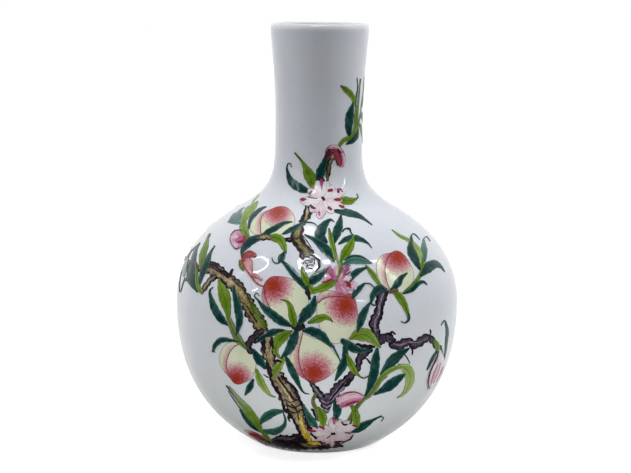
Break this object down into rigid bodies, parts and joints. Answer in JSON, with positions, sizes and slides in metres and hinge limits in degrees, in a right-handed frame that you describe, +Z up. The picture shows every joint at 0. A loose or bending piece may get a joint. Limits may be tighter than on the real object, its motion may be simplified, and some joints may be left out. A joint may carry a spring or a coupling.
{
  "type": "bottle vase",
  "caption": "Porcelain bottle vase with a globular belly, a long gently flared open neck and a hidden recessed foot, thrown in luted sections and painted with peach and blossom sprays.",
  "frame": {"origin": "middle of the foot, on the surface that the vase stands on", "axes": "+Z up along the axis of the vase; +Y points away from the viewer of the painted front"},
  "size_m": [0.222, 0.222, 0.33],
  "materials": {
    "white_porcelain": "clear glossy glaze over bluish white porcelain",
    "bare_clay": "unglazed, wiped and fired, matte",
    "luting_slip": "fired slip, satin",
    "painted_enamel": "overglaze enamel, glossy, many colours"
  },
  "bodies": {
    "root": {"foot_ring": "bare_clay", "foot_luting": "luting_slip", "lower_belly": "white_porcelain", "belly_luting": "luting_slip", "upper_belly": "white_porcelain", "neck_luting": "luting_slip", "neck": "white_porcelain"}
  },
  "joints": []
}
